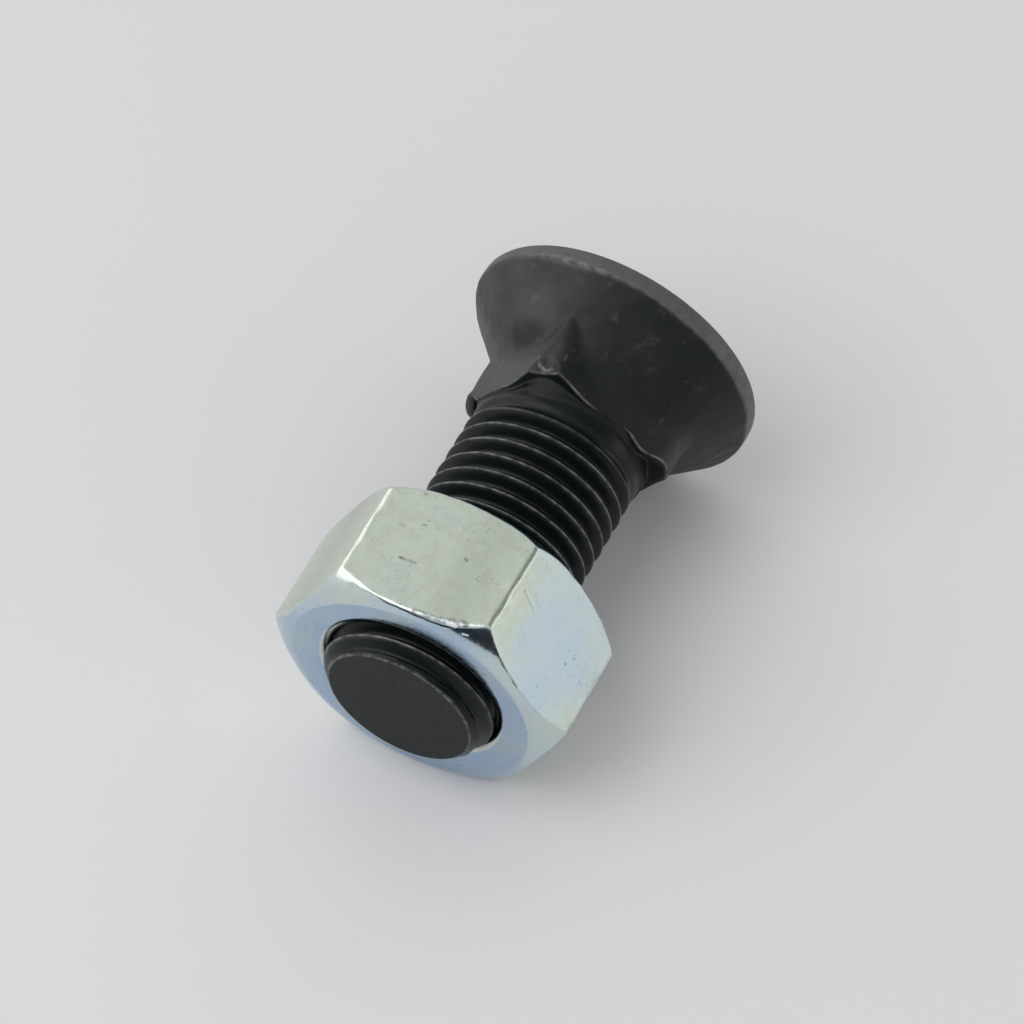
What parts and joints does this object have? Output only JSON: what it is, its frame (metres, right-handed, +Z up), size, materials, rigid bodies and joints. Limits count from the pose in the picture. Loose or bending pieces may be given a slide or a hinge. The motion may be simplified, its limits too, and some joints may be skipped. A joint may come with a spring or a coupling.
{
  "type": "plow bolt",
  "caption": "Flat countersunk-head bolt with a square neck that keeps it from turning, a threaded shank and a hex nut that clamps a plow share or wear plate to its frame.",
  "frame": {"origin": "on the surface the part lies on, under the middle of its box", "axes": "+Z up; the bolt lies along Y, head towards +Y and thread end towards -Y, its axis dipping 2.5 degrees to the thread end"},
  "size_m": [0.0242, 0.0364, 0.0238],
  "materials": {
    "black_steel": "satin",
    "zinc_plate": "satin"
  },
  "bodies": {
    "bolt": {"plow_bolt": "black_steel"},
    "nut": {"hex_nut": "zinc_plate"}
  },
  "joints": [
    {"name": "nut_travel", "type": "slide", "parent": "bolt", "child": "nut", "axis": [0, -0.9991, -0.0432], "range_m": [-0.0105, 0.0135]}
  ]
}
